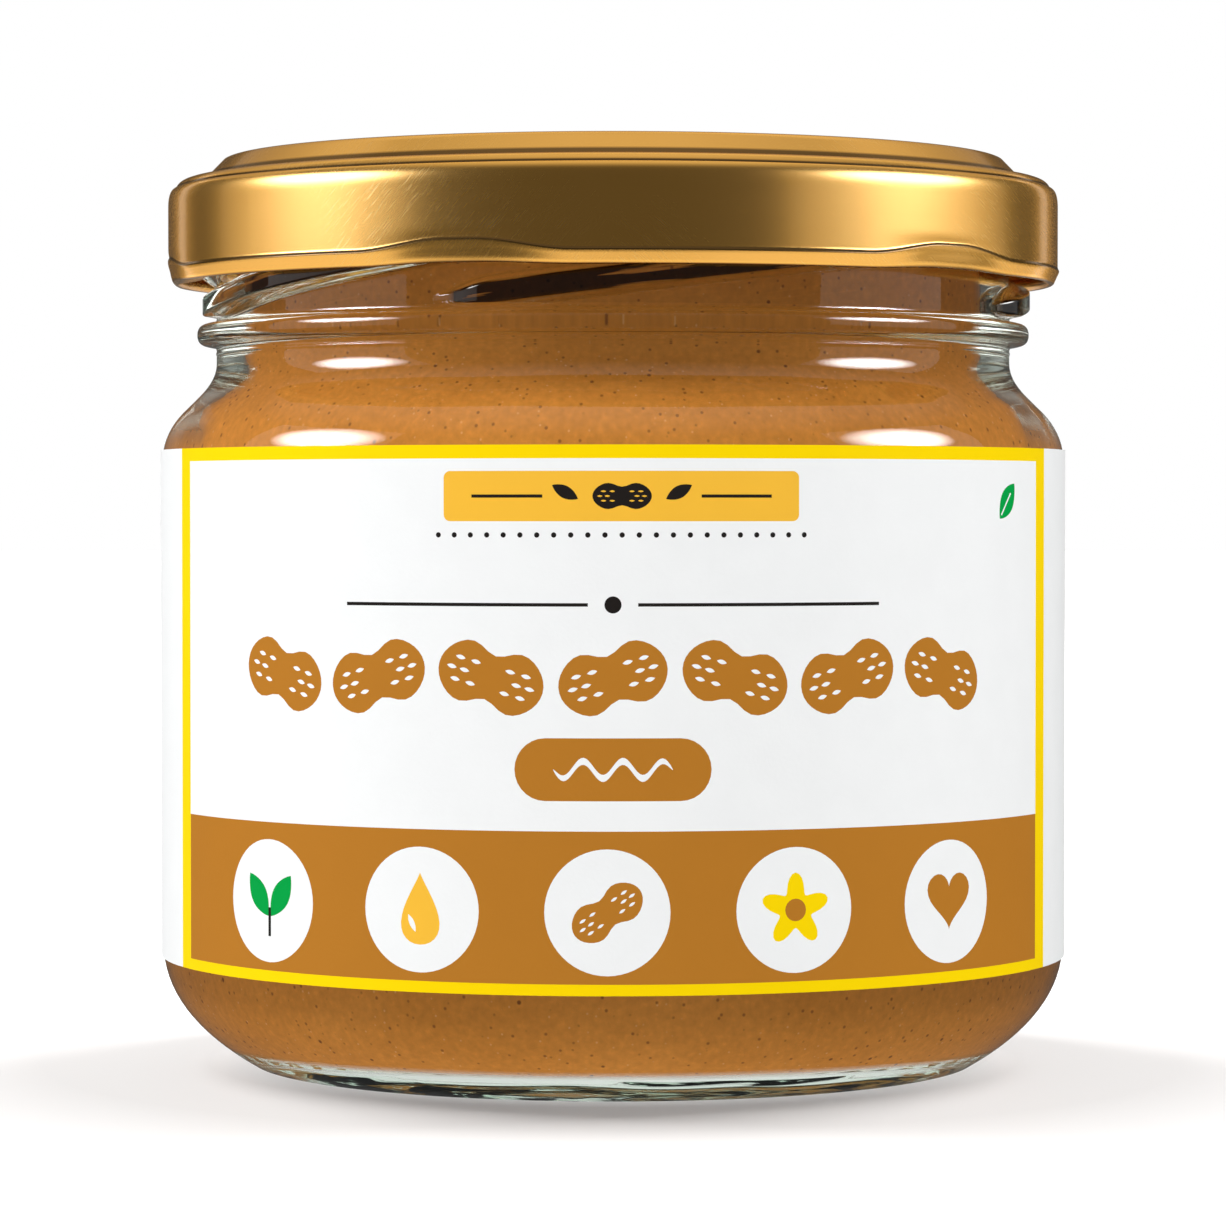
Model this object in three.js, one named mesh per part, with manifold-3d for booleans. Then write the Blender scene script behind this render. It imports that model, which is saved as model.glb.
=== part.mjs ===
// A squat clear glass jar of peanut butter with a paper wrap label, shut by a metal twist-off lid.
// Millimetres, +Z up. The origin is the centre of the foot, and the front of the label faces -Y.

import * as THREE from 'three';
import { mergeVertices } from 'three/addons/utils/BufferGeometryUtils.js';
import Module from 'manifold-3d';

const wasm = await Module();
wasm.setup();
const { degToRad, lerp, smoothstep } = THREE.MathUtils;

// Facets round every turned piece, and steps along the long and short curves of a profile
const SIDES = 48;
const LONG_STEPS = 3;
const SHORT_STEPS = 2;

// Glass outside: radii, and heights above the surface that the jar stands on
const FOOT_INNER_R = 32.4;
const FOOT_OUTER_R = 34.8;
const PUSH_UP = 1.4;
const BODY_R = 43.25;
const HEEL_BEND_Z = 4.9;
const HEEL_TOP_Z = 11.4;
const SHOULDER_FOOT_Z = 57.3;
const SHOULDER_BEND_Z = 60.3;
const SHOULDER_R = 40.75;
const SHOULDER_Z = 62.55;
const NECK_R = 38.05;
const NECK_FILLET = 1.6;
const NECK_FOOT_Z = 66.8;
const BEAD_R = 39.9;
const BEAD_Z = 69.5;
const BEAD_HALF_HEIGHT = 1.0;
const BEAD_FILLET = 0.2;
const RIM_Z = 85.0;
const RIM_ROUND = 1.2;

// Glass inside
const FLOOR_MIDDLE_Z = 3.8;
const FLOOR_EDGE_R = 31.5;
const FLOOR_EDGE_Z = 3.0;
const BORE_R = 40.6;
const BORE_FOOT_Z = 12.6;
const BORE_TOP_Z = 57.2;
const THROAT_BEND_R = 38.0;
const THROAT_BEND_Z = 62.0;
const THROAT_R = 35.3;
const THROAT_FOOT_Z = 67.0;

// Equal right-hand thread leads on the neck, which start at these angles from the front
const THREAD_STARTS = [-84.4, -24.4, 66, 135, 205].map(degToRad);
const THREAD_SPAN = degToRad(82.5);
const THREAD_RAMP = degToRad(9);
const THREAD_STEPS = 11;
const THREAD_START_Z = 71.65;
const THREAD_PITCH = 28.8;
const THREAD_HALF_HEIGHT = 1.2;
const THREAD_ROOT_R = 37.3;
const THREAD_CREST_R = 40.0;
const THREAD_TIP_SHARE = 0.45;
const THREAD_FLANK_REACH = 0.7;
const THREAD_FLANK_HEIGHT = 0.9;
const THREAD_CREST_HEIGHT = 0.4;

// Peanut butter, clear of the glass all round, with its level just under the lid
const FILL_CLEARANCE = 0.3;
const FILL_LEVEL_Z = 82.3;

// Label, a paper sleeve round the straight part of the body
const LABEL_INNER_R = 43.35;
const LABEL_OUTER_R = 43.5;
const LABEL_FOOT_Z = 10.3;
const LABEL_TOP_Z = 58.5;

// Lid, pressed from thin sheet
const SHEET = 0.35;
const BUTTON_R = 12.5;
const BUTTON_RISE = 0.3;
const PANEL_Z = 85.7;
const PANEL_R = 34.0;
const STACK_RING_INNER_R = 35.2;
const STACK_RING_OUTER_R = 36.8;
const STACK_RING_ROUND = 0.6;
const STACK_RING_ROUND_DROP = 0.15;
const STACK_RING_FOOT_R = 39.1;
const STACK_RING_FOOT_Z = 84.4;
const LID_TOP_Z = 86.3;
const VALLEY_R = 39.9;
const VALLEY_Z = 83.95;
const LID_SHOULDER_R = 40.7;
const LID_SHOULDER_Z = 84.15;
const CORNER_FOOT_Z = 81.6;
const LID_R = 42.8;
const SKIRT_R = 42.65;
const CURL_FOOT_Z = 74.3;
const CURL_TOP_Z = 75.5;
const CURL_INNER_R = 41.3;
const LIP_FOOT_R = 42.3;
const LIP_FOOT_Z = 74.45;
const CREASE_HEIGHT = 0.3;

// Lugs, pressed in from the curl to catch under the threads, with their middles at these angles
const LUG_MIDDLES = [-82, -18.5, 46, 145, 215].map(degToRad);
const LUG_HALF_WIDTH = degToRad(5.5);
const LUG_INNER_R = 38.95;
const LUG_OUTER_R = 42.0;
const LUG_FOOT_Z = 74.3;
const LUG_THICKNESS = 0.36;

const GLASS = new THREE.MeshStandardMaterial({
  color: 0xe6ece6, roughness: 0.04, metalness: 0, transparent: true, opacity: 0.35,
});
const BUTTER = new THREE.MeshStandardMaterial({ color: 0xb0702e, roughness: 0.45, metalness: 0 });
const PAPER = new THREE.MeshStandardMaterial({ color: 0xf4f4f2, roughness: 0.5, metalness: 0 });
const GOLD = new THREE.MeshStandardMaterial({ color: 0xc8963c, roughness: 0.3, metalness: 1 });

// A profile is a list of points, each a radius and a height.
const at = (r, z) => new THREE.Vector2(r, z);

function bend(steps, start, corner, end) {
  return new THREE.QuadraticBezierCurve(start, corner, end).getPoints(steps);
}

// Moves a profile to its left, and keeps the points that are on the axis there.
function movedLeft(profile, distance) {
  const lefts = profile.slice(1).map((end, i) => {
    const along = end.clone().sub(profile[i]).normalize();
    return at(-along.y, along.x);
  });
  return profile.map((p, i) => {
    const before = lefts[Math.max(i - 1, 0)];
    const after = lefts[Math.min(i, lefts.length - 1)];
    const middle = before.clone().add(after).normalize();
    const moved = p.clone().addScaledVector(middle, distance / middle.dot(before));
    return p.x === 0 ? at(0, moved.y) : moved;
  });
}

function turned(profile) {
  return new THREE.LatheGeometry(profile, SIDES).rotateX(Math.PI / 2);
}

// Angles run from the front, -Y, towards +X.
function around(angle, r, z) {
  return new THREE.Vector3(r * Math.sin(angle), -r * Math.cos(angle), z);
}

// Joins a row of equal rings of points into one closed skin with a flat cap at each end.
function lofted(rings) {
  const count = rings[0].length;
  const last = (rings.length - 1) * count;
  const corners = [];
  for (let first = 0; first < last; first += count) {
    for (let i = 0; i < count; i++) {
      const a = first + i;
      const b = first + (i + 1) % count;
      corners.push(a, b + count, b, a, a + count, b + count);
    }
  }
  for (let i = 1; i + 1 < count; i++) {
    corners.push(0, i, i + 1, last, last + i + 1, last + i);
  }
  const geometry = new THREE.BufferGeometry().setFromPoints(rings.flat());
  geometry.setIndex(corners);
  return geometry;
}

// Shared vertices are merged, and the triangles that collapse on the axis are dropped.
function toSolid(geometry) {
  const bare = geometry.clone();
  bare.deleteAttribute('normal');
  bare.deleteAttribute('uv');
  const merged = mergeVertices(bare);
  const corners = Array.from(merged.index.array);
  const kept = [];
  for (let i = 0; i < corners.length; i += 3) {
    const triangle = corners.slice(i, i + 3);
    if (new Set(triangle).size === 3) kept.push(...triangle);
  }
  return new wasm.Manifold(new wasm.Mesh({
    numProp: 3,
    vertProperties: new Float32Array(merged.attributes.position.array),
    triVerts: new Uint32Array(kept),
  }));
}

function joined(base, additions) {
  const whole = additions.reduce((solid, piece) => solid.add(toSolid(piece)), toSolid(base));
  const { vertProperties, triVerts } = whole.getMesh();
  const geometry = new THREE.BufferGeometry();
  geometry.setAttribute('position', new THREE.BufferAttribute(vertProperties, 3));
  geometry.setIndex(new THREE.BufferAttribute(triVerts, 1));
  geometry.computeVertexNormals();
  return geometry;
}

// Glass jar: the outside runs up from the axis to the rim, and the cavity from the axis to the throat.
function glassOutside() {
  const neckCornerZ = SHOULDER_Z + SHOULDER_R - NECK_R;
  const beadFaceR = BEAD_R - BEAD_HALF_HEIGHT;
  const beadFootZ = BEAD_Z - BEAD_HALF_HEIGHT;
  const beadTopZ = BEAD_Z + BEAD_HALF_HEIGHT;
  const underside = bend(SHORT_STEPS, at(0, PUSH_UP), at(FOOT_INNER_R, PUSH_UP), at(FOOT_INNER_R, 0));
  const heel = bend(LONG_STEPS, at(FOOT_OUTER_R, 0), at(BODY_R, HEEL_BEND_Z), at(BODY_R, HEEL_TOP_Z));
  const shoulder = bend(
    LONG_STEPS, at(BODY_R, SHOULDER_FOOT_Z), at(BODY_R, SHOULDER_BEND_Z), at(SHOULDER_R, SHOULDER_Z),
  );
  const neckFillet = bend(
    SHORT_STEPS, at(NECK_R + NECK_FILLET, neckCornerZ - NECK_FILLET), at(NECK_R, neckCornerZ),
    at(NECK_R, NECK_FOOT_Z),
  );
  const beadLower = bend(SHORT_STEPS, at(beadFaceR, beadFootZ), at(BEAD_R, beadFootZ), at(BEAD_R, BEAD_Z));
  const beadUpper = bend(SHORT_STEPS, at(BEAD_R, BEAD_Z), at(BEAD_R, beadTopZ), at(beadFaceR, beadTopZ));
  const rim = bend(
    SHORT_STEPS, at(NECK_R, RIM_Z - RIM_ROUND), at(NECK_R, RIM_Z), at(NECK_R - RIM_ROUND, RIM_Z),
  );
  return [
    ...underside, ...heel, ...shoulder, ...neckFillet,
    at(NECK_R, beadFootZ - BEAD_FILLET), ...beadLower,
    ...beadUpper.slice(1), at(NECK_R, beadTopZ + BEAD_FILLET),
    ...rim,
  ];
}

function glassCavity() {
  const shoulderCornerZ = THROAT_BEND_Z - (BORE_R - THROAT_BEND_R);
  const throatCornerZ = THROAT_BEND_Z + (THROAT_BEND_R - THROAT_R);
  const floor = bend(
    SHORT_STEPS, at(0, FLOOR_MIDDLE_Z), at(FLOOR_EDGE_R / 2, FLOOR_MIDDLE_Z), at(FLOOR_EDGE_R, FLOOR_EDGE_Z),
  );
  const heel = bend(LONG_STEPS, floor.at(-1), at(BORE_R, FLOOR_EDGE_Z), at(BORE_R, BORE_FOOT_Z));
  const shoulder = bend(
    SHORT_STEPS, at(BORE_R, BORE_TOP_Z), at(BORE_R, shoulderCornerZ), at(THROAT_BEND_R, THROAT_BEND_Z),
  );
  const throat = bend(
    SHORT_STEPS, shoulder.at(-1), at(THROAT_R, throatCornerZ), at(THROAT_R, THROAT_FOOT_Z),
  );
  return [...floor, ...heel.slice(1), ...shoulder, ...throat.slice(1)];
}

// A lead starts level and thin, rises at an even pitch, and thins out again at its top end.
function threadLead(start) {
  const rings = [];
  for (let step = 0; step <= THREAD_STEPS; step++) {
    const turn = THREAD_SPAN * step / THREAD_STEPS;
    const fromEnd = Math.min(turn, THREAD_SPAN - turn);
    const size = lerp(THREAD_TIP_SHARE, 1, smoothstep(fromEnd, 0, THREAD_RAMP));
    const crest = lerp(THREAD_ROOT_R, THREAD_CREST_R, size);
    const flank = lerp(THREAD_ROOT_R, crest, THREAD_FLANK_REACH);
    const half = THREAD_HALF_HEIGHT * size;
    const climb = turn < THREAD_RAMP ? turn ** 2 / (2 * THREAD_RAMP) : turn - THREAD_RAMP / 2;
    const z = THREAD_START_Z + THREAD_PITCH * climb / (2 * Math.PI);
    const lower = [
      at(THREAD_ROOT_R, -half),
      at(flank, -half * THREAD_FLANK_HEIGHT),
      at(crest, -half * THREAD_CREST_HEIGHT),
    ];
    const upper = lower.map((p) => at(p.x, -p.y)).reverse();
    const section = [...lower, ...upper];
    rings.push(section.map((p) => around(start + turn, p.x, z + p.y)));
  }
  return lofted(rings);
}

function glassJar() {
  const rimInside = bend(
    SHORT_STEPS, at(THROAT_R + RIM_ROUND, RIM_Z), at(THROAT_R, RIM_Z), at(THROAT_R, RIM_Z - RIM_ROUND),
  );
  const shell = turned([...glassOutside(), ...rimInside, ...glassCavity().reverse()]);
  return joined(shell, THREAD_STARTS.map(threadLead));
}

// Peanut butter: the cavity's own shape, a little smaller, up to its level.
function peanutButter() {
  const side = movedLeft(glassCavity(), FILL_CLEARANCE);
  return turned([...side, at(side.at(-1).x, FILL_LEVEL_Z), at(0, FILL_LEVEL_Z)]);
}

function label() {
  return turned([
    at(LABEL_INNER_R, LABEL_FOOT_Z), at(LABEL_OUTER_R, LABEL_FOOT_Z),
    at(LABEL_OUTER_R, LABEL_TOP_Z), at(LABEL_INNER_R, LABEL_TOP_Z),
    at(LABEL_INNER_R, LABEL_FOOT_Z),
  ]);
}

// Lid: the outside runs up from the crease above the curl, over the shoulder and raised ring, to the axis.
function lidOutside() {
  const corner = bend(
    LONG_STEPS, at(SKIRT_R, CORNER_FOOT_Z), at(SKIRT_R, LID_SHOULDER_Z),
    at(LID_SHOULDER_R, LID_SHOULDER_Z),
  );
  const ringWall = [
    at(STACK_RING_FOOT_R, STACK_RING_FOOT_Z),
    at(STACK_RING_OUTER_R + STACK_RING_ROUND, LID_TOP_Z - STACK_RING_ROUND_DROP),
    at(STACK_RING_OUTER_R, LID_TOP_Z),
  ];
  const button = bend(
    SHORT_STEPS, at(BUTTON_R, PANEL_Z), at(BUTTON_R / 2, PANEL_Z + BUTTON_RISE), at(0, PANEL_Z + BUTTON_RISE),
  );
  return [
    at(SKIRT_R, CURL_TOP_Z + CREASE_HEIGHT), ...corner, at(VALLEY_R, VALLEY_Z), ...ringWall,
    at(STACK_RING_INNER_R, LID_TOP_Z), at(PANEL_R, PANEL_Z), ...button,
  ];
}

function lug(middle) {
  const front = -Math.PI / 2 + middle;
  const outline = new THREE.Shape();
  outline.absarc(0, 0, LUG_OUTER_R, front - LUG_HALF_WIDTH, front + LUG_HALF_WIDTH, false);
  outline.absarc(0, 0, LUG_INNER_R, front + LUG_HALF_WIDTH, front - LUG_HALF_WIDTH, true);
  const plate = new THREE.ExtrudeGeometry(outline, {
    depth: LUG_THICKNESS, bevelEnabled: false, curveSegments: SHORT_STEPS,
  });
  return plate.translate(0, 0, LUG_FOOT_Z);
}

function lid() {
  const outside = lidOutside();
  const inside = movedLeft(outside, SHEET);
  const curlMiddleR = (CURL_INNER_R + LID_R) / 2;
  const curlMiddleZ = (CURL_FOOT_Z + CURL_TOP_Z) / 2;
  const curl = [
    at(CURL_INNER_R, CURL_TOP_Z), at(CURL_INNER_R, curlMiddleZ), at(curlMiddleR, CURL_FOOT_Z),
    at(LIP_FOOT_R, LIP_FOOT_Z), at(LID_R, CURL_TOP_Z),
  ];
  const shell = turned([...inside.reverse(), ...curl, ...outside]);
  return joined(shell, LUG_MIDDLES.map(lug));
}

const jar = new THREE.Group();

function place(name, geometry, material) {
  const mesh = new THREE.Mesh(geometry, material);
  mesh.name = name;
  jar.add(mesh);
}

place('jar_glass', glassJar(), GLASS);
place('peanut_butter', peanutButter(), BUTTER);
place('label', label(), PAPER);
place('lid', lid(), GOLD);

export default jar;
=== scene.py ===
import math

import bpy
import numpy as np
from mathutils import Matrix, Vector
from mathutils.geometry import delaunay_2d_cdt


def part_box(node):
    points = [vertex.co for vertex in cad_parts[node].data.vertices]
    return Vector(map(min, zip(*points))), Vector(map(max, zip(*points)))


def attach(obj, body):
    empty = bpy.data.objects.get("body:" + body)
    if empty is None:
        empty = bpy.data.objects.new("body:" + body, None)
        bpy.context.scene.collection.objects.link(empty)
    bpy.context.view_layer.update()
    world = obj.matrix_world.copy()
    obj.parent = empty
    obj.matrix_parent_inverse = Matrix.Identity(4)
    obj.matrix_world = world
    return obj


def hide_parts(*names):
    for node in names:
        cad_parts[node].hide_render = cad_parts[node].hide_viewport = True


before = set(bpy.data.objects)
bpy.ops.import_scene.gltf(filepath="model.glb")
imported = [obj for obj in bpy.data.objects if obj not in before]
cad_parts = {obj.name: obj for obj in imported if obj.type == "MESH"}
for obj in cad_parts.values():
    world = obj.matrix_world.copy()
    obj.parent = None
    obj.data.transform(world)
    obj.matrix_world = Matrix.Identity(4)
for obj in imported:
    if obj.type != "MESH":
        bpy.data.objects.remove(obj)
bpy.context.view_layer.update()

# Lengths are millimetres until a mesh is made. Heights are above the floor, and angles run from the
# front, -Y, towards +X, as in the CAD frame.
MM = 0.001
SEGMENTS = 360
TURN = 2 * math.pi


def size_of(node):
    """A node's outer radius, foot and top, in millimetres."""
    low, high = (np.array(corner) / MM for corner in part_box(node))
    return (high[0] - low[0]) / 2, low[2], high[2]


BODY_R, _, RIM_Z = size_of("jar_glass")
LABEL_R, LABEL_FOOT_Z, LABEL_TOP_Z = size_of("label")
LID_R, CURL_FOOT_Z, LID_TOP_Z = size_of("lid")
_, _, FILL_LEVEL_Z = size_of("peanut_butter")

# Glass outside
FOOT_INNER_R = 32.4
FOOT_OUTER_R = 34.8
PUSH_UP = 1.4
KNURLS = 60
KNURL_DEPTH = 0.06
RIPPLE_PITCH = 4.6
RIPPLE_DEPTH = 0.10
RIPPLE_WANDERS = ((1.4, 5), (0.8, 13))
RIPPLE_START_R = 2.0
RIPPLE_GROWTH = 10.0
RIPPLE_END_Z = 0.5
HEEL_BEND_Z = 4.9
HEEL_TOP_Z = 11.4
SHOULDER_FOOT_Z = 57.3
SHOULDER_BEND_Z = 60.3
SHOULDER_R = 40.75
SHOULDER_Z = 62.55
NECK_R = 38.05
NECK_FILLET = 1.6
NECK_FOOT_Z = 66.8
PARTING_Z = 67.7
PARTING_RISE = 0.06
BEAD_R = 39.9
BEAD_Z = 69.5
BEAD_HALF_HEIGHT = 1.0
BEAD_FILLET = 0.55
RIM_ROUND = 1.2

# Glass inside
FLOOR_MIDDLE_Z = 3.8
FLOOR_EDGE_R = 31.5
FLOOR_EDGE_Z = 3.0
BORE_R = 40.6
BORE_FOOT_Z = 12.6
BORE_TOP_Z = 57.2
THROAT_BEND_R = 38.0
THROAT_BEND_Z = 62.0
THROAT_R = 35.3
THROAT_FOOT_Z = 67.0

# Right-hand thread leads
THREAD_STARTS = np.radians([-84.4, -26.0, 66, 135, 205])
THREAD_SPAN = math.radians(82.5)
THREAD_RAMP = math.radians(10)
THREAD_START_Z = 71.65
THREAD_PITCH = 28.8
THREAD_HALF_HEIGHT = 1.7
THREAD_RISE = 1.95
THREAD_FLANK = 0.55
THREAD_TIP_SHARE = 0.12
THREAD_TIP_RAMP = 0.8 * THREAD_RAMP
FINE_TOP_Z = 77.2

# Peanut butter, which reaches just into the glass
FILL_REACH = 0.08
FILL_ROUND = 0.8
FILL_ROUND_DROP = 0.4

# Lid
SHEET = 0.3
BUTTON_R = 12.5
BUTTON_RISE = 0.3
BUTTON_SIDE = (0.7, 0.6)
BUTTON_BENDS = (0.8, 0.5)
PANEL_Z = 85.7
PANEL_R = 34.0
STACK_RING_INNER_R = 35.2
STACK_RING_OUTER_R = 36.8
STACK_RING_ROUND = 0.6
STACK_RING_ROUND_DROP = 0.15
STACK_RING_FOOT_R = 39.1
STACK_RING_FOOT_Z = 84.4
VALLEY_R = 39.9
VALLEY_Z = 83.95
VALLEY_ROUND = 0.3
LID_SHOULDER_R = 40.7
LID_SHOULDER_Z = 84.15
FOLD_R = 41.95
FOLD_Z = 83.35
FOLD_ROUND = 0.25
CORNER_FOOT_Z = 81.6
CREASE_Z = 75.55
CREASE_ROOT_Z = CREASE_Z + 0.3
CREASE_TOP_Z = CREASE_Z + 0.45
SKIRT_FOOT_Z = CREASE_Z + 0.9
LIP_PROUD = 0.15
SKIRT_R = LID_R - LIP_PROUD
SHELF_LOW = (LID_R - 0.04, CREASE_Z + 0.08)
SHELF_HIGH = (SKIRT_R + 0.05, CREASE_Z + 0.2)
LIP_HIGH = (LID_R - 0.03, CREASE_Z - 0.08)
LIP_SLANT = 0.5
LIP_LOW = (LID_R - LIP_SLANT, CURL_FOOT_Z + 0.15)
LIP_FOOT = (LID_R - LIP_SLANT - 0.1, CURL_FOOT_Z)
CURL_INNER_R = 41.3
CURL_MIDDLE_R = (CURL_INNER_R + LID_R) / 2
CURL_MIDDLE_Z = (CURL_FOOT_Z + CREASE_Z) / 2
CURL_START_Z = CREASE_Z + 0.5
LUG_MIDDLES = np.radians([-82, -18.5, 46, 145, 215])
LUG_HALF_WIDTH = math.radians(12)
LUG_EDGE = 1.15
LUG_LIFT = 1.0
LUG_FOOT_LIFT_SHARE = 0.25
LUG_FADE = 2.2
LUG_DENT = 0.1
LUG_REACH = 2.3
TONGUE_HALF_WIDTH = 0.3 * LUG_HALF_WIDTH
TONGUE_ROOT_R = LID_R - 0.7
TONGUE_BEND = 0.8
TONGUE_TOP_Z = CREASE_Z + 0.2

# Label
LABEL_THICKNESS = 0.14
LABEL_CLEARANCE = 0.02
LABEL_LAP = 8.0
LABEL_RAMP = 3.0
LABEL_STEP = 2.0

# Label print, shapes as shares of their sizes
NUT_WAIST = 0.42
NUT_WAIST_LENGTH = 0.36
NUT_FULLEST = 0.82
SHELL_MARKS = ((-0.17, 0.36), (0.13, 0.36), (0.0, 0.0), (0.25, 0.0), (-0.17, -0.36), (0.13, -0.36))
SHELL_MARK_SIZE = (0.19, 0.14)
LEAF_ROUNDNESS = 0.85
DROP_HALF_WIDTH = 0.42
DROP_POINT = 1.5
PETAL_DIP = 0.26
WAVE_BLUNTNESS = 6
WAVE_END = 0.02

# Label print, front: distances round the jar from the middle, and heights
FRAME_HALF_WIDTH = 51.0
FRAME_SIDE = 2.3
FRAME_TOP = 1.2
FRAME_FOOT = 1.0
BAND_TOP_Z = 24.7
BADGES = 5
BADGE_PITCH = 17.0
BADGE_MIDDLE = -0.5
BADGE_R = 5.55
BADGE_Z = 17.6
SPRIG_LEAF = (4.6, 2.2)
SPRIG_LEAF_PLACE = (1.5, 0.5)
SPRIG_LEAF_TILT = 35
SPRIG_STEM = (0.35, 2.6)
SPRIG_STEM_DROP = 1.9
OIL_HEIGHT = 6.4
OIL_RISE = 0.1
OIL_GLINT = (1.7, 0.5)
OIL_GLINT_PLACE = (-0.8, -1.2)
OIL_GLINT_TILT = 115
BADGE_NUT = (3.5, 1.75)
BADGE_NUT_TILT = 35
BLOSSOM_R = 3.3
BLOSSOM_EYE_R = 1.0
HEART_SIZE = 5.6
PILL_Z = 30.1
PILL_SIZE = (17.4, 5.5)
NUT_ROW = 7
NUT_PITCH = 10.9
NUT_ROW_Z = 38.1
NUT_HALF_SIZE = (4.9, 2.75)
NUT_TILT = 16
WAVE_LENGTH = 10.5
WAVE_RISE = 0.75
WAVE_STROKE = 0.62
RULE_Z = 44.5
RULE_ENDS = (2.2, 25.0)
RULE_STROKE = 0.3
RULE_DOT_R = 0.75
DOT_ROW_Z = 50.6
DOT_PITCH = 1.5
DOT_R = 0.24
DOTS_EACH_WAY = 11
PLAQUE_MIDDLE = (0.8, 54.0)
PLAQUE_SIZE = (32.0, 4.4)
PLAQUE_ROUND = 0.6
PLAQUE_NUT = (2.6, 1.15)
PLAQUE_LEAF = (2.6, 1.1)
PLAQUE_LEAF_PLACE = (5.0, 0.35)
PLAQUE_LEAF_TILT = 62
PLAQUE_RULE = (6.4, 0.28)
PLAQUE_RULE_OUT = 10.2
MARK_MIDDLE = (42.5, 53.6)
MARK_LEAF = (4.2, 2.3)
MARK_VEIN = (-0.35, 0, 2.6, 0.18)
MARK_TILT = 50

# Label print, back
BACK_PANEL = (74.0, 14.5, 126.0, 54.5)
BACK_STROKE = 0.35
TABLE_ROWS = 9
TABLE_HEAD = 5.0
TABLE_RULES = (0.5, 0.2)
TABLE_COLUMN = 8.0
TABLE_COLUMN_RULE = 0.25
TABLE_MARGIN = 1.2
CREST_BORDER = 1.0
CREST_FOOT = 5.0
CREST_RADII = (14.5, 13.6)
CREST_RISE = 2.5
CREST_NUT = (8.6, 4.6)
CREST_NUT_RISE = 4.5
CREST_NUT_TILT = 28
CREST_LEAF = (8, 3.6)
CREST_LEAF_PLACE = (5.6, 14.5)
CREST_LEAF_TILT = 58

# Materials: linear colours, ramp stops of (millimetres, grey), painted shade lines of (radius,
# height, half width) in millimetres, and sizes of streaks in metres
GLASS_IOR = 1.5
CLEAR_GLASS = (0.955, 0.985, 0.965, 1)
# Painted shade and painted highlight on the threads: near black on the thread's core, with pale glints in
# streaks along it
THREAD_PAINTED_SHADE = (0.003, 0.002, 0.001, 1)
THREAD_PAINTED_GLINT = (0.60, 0.62, 0.60, 1)
# The height, and the radii from the axis, over which the painted shade of the threads grows
THREAD_SHADE_FROM_Z = 71.1
THREAD_SHADE_RADII = ((38.18, 0.0), (38.38, 1.0))
BUTTER_DEEP = (0.70, 0.258, 0.038, 1)
BUTTER_LIGHT = (0.77, 0.293, 0.049, 1)
PALE_SPECK = (0.95, 0.55, 0.22, 1)
FINE_SPECK = (0.20, 0.06, 0.015, 1)
COARSE_SPECK = (0.12, 0.035, 0.01, 1)
FILM_MIRROR = (0.95, 1.0, 0.965, 1)
FILM_ON_NECK = ((57.5, 0.0), (60.0, 0.7), (66.0, 1.0))
FILM_ON_FLOOR = ((35.0, 1.0), (36.2, 0.0))
FILM_FLOOR_TOP_Z = 20.0
GOLD_DEEP = (0.89, 0.455, 0.085, 1)
GOLD_LIGHT = (0.93, 0.485, 0.10, 1)
GOLD_SCRATCH = (1.0, 0.70, 0.30, 1)
# Painted shade: near-black lines on the gold where the crease, the ring's foot, the fold and the curl's
# foot fall into shade
GOLD_PAINTED_SHADE = (0.05, 0.022, 0.006, 1)
CREASE_SHADE_LINE = (SKIRT_R + 0.08, CREASE_Z + 0.14, 0.22)
RING_SHADE_LINE = (STACK_RING_FOOT_R, STACK_RING_FOOT_Z, 0.60)
FOLD_SHADE_LINE = (FOLD_R, FOLD_Z, 0.25)
CURL_SHADE_LINE = (CURL_MIDDLE_R, CURL_FOOT_Z, 0.35)
SCRATCH_SIZE = (0.0020, 0.00006)
GRAIN_SIZE = (0.02, 0.00012)
FLOOR_DEEP = (0.74, 0.722, 0.712, 1)
FLOOR_LIGHT = (0.77, 0.752, 0.742, 1)

# Stage and light, in metres
FLOOR_HALF = 6.0
KEY_BLUE = (0.8, 1.0, 1.9)
# Floor glow by distance from the jar's axis: a glowing patch under the foot, seen through the glass base,
# none close round the foot, and full glow further out
FLOOR_GLOW = ((0.033, 0.5), (0.036, 0.0), (0.055, 0.0), (0.09, 0.35), (0.13, 0.7), (0.5, 1.0))

# Camera, solved from the photograph's perspective
CAMERA_DISTANCE = 452.0
CAMERA_HEIGHT = 52.5
CAMERA_PITCH = math.radians(1.22)
CAMERA_LENS = 137.6
CAMERA_SENSOR = 36.0


# Profiles and turned skins

def bend(steps, start, corner, end):
    """Points along a quadratic curve, without its last point."""
    t = np.linspace(0, 1, steps, endpoint=False)[:, None]
    start, corner, end = map(np.array, (start, corner, end))
    return (1 - t) ** 2 * start + 2 * t * (1 - t) * corner + t ** 2 * end


def straight(steps, start, end):
    """Points along a line, without its last point."""
    t = np.linspace(0, 1, steps, endpoint=False)[:, None]
    return (1 - t) * np.array(start) + t * np.array(end)


def moved_left(profile, distance):
    """Moves a profile sideways to its left. Points on the axis stay on it."""
    along = np.diff(profile, axis=0)
    along /= np.linalg.norm(along, axis=1)[:, None]
    left = np.c_[-along[:, 1], along[:, 0]]
    before = np.vstack([left[:1], left])
    after = np.vstack([left, left[-1:]])
    middle = before + after
    middle /= np.linalg.norm(middle, axis=1)[:, None]
    moved = profile + middle * (distance / np.sum(middle * before, axis=1))[:, None]
    moved[profile[:, 0] == 0, 0] = 0
    return moved


def shade(mesh, sharp_degrees):
    mesh.shade_smooth()
    mesh.set_sharp_from_angle(angle=math.radians(sharp_degrees))


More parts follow.
